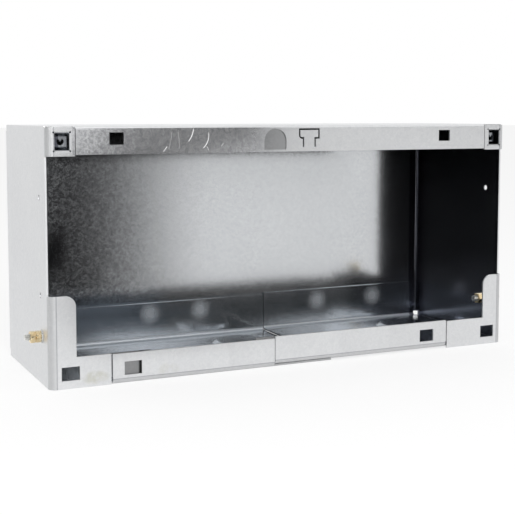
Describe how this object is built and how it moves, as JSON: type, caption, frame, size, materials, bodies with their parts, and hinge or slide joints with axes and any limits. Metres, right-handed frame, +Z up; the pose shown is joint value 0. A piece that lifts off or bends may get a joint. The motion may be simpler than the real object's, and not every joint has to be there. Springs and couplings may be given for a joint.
{
  "type": "flush back box",
  "caption": "Wide folded galvanised steel back box, open at the front, with flanged edges, lapped bottom plates, cover-fixing holes and earth studs through its end walls.",
  "frame": {"origin": "middle of the footprint, on the surface that the box stands on", "axes": "+X along the width to the right seen from the open front, +Y towards the back wall, +Z up"},
  "size_m": [0.426, 0.134, 0.19],
  "materials": {
    "galvanised_sheet": "galvanised, fine spangle",
    "zinc_plated_steel": "bright zinc plate",
    "brass": "turned"
  },
  "bodies": {
    "root": {"box_body": "galvanised_sheet", "bottom_plate_left": "galvanised_sheet", "bottom_plate_right": "galvanised_sheet", "earth_stud_left": "zinc_plated_steel", "earth_stud_right": "zinc_plated_steel", "earth_washer_outer_left": "zinc_plated_steel", "earth_washer_outer_right": "zinc_plated_steel", "earth_washer_inner_left": "zinc_plated_steel", "earth_washer_inner_right": "zinc_plated_steel", "earth_nut_outer_left": "brass", "earth_nut_outer_right": "brass", "earth_locknut_outer_left": "brass", "earth_locknut_outer_right": "brass", "earth_nut_inner_left": "brass", "earth_nut_inner_right": "brass", "earth_locknut_inner_left": "brass", "earth_locknut_inner_right": "brass"}
  },
  "joints": []
}
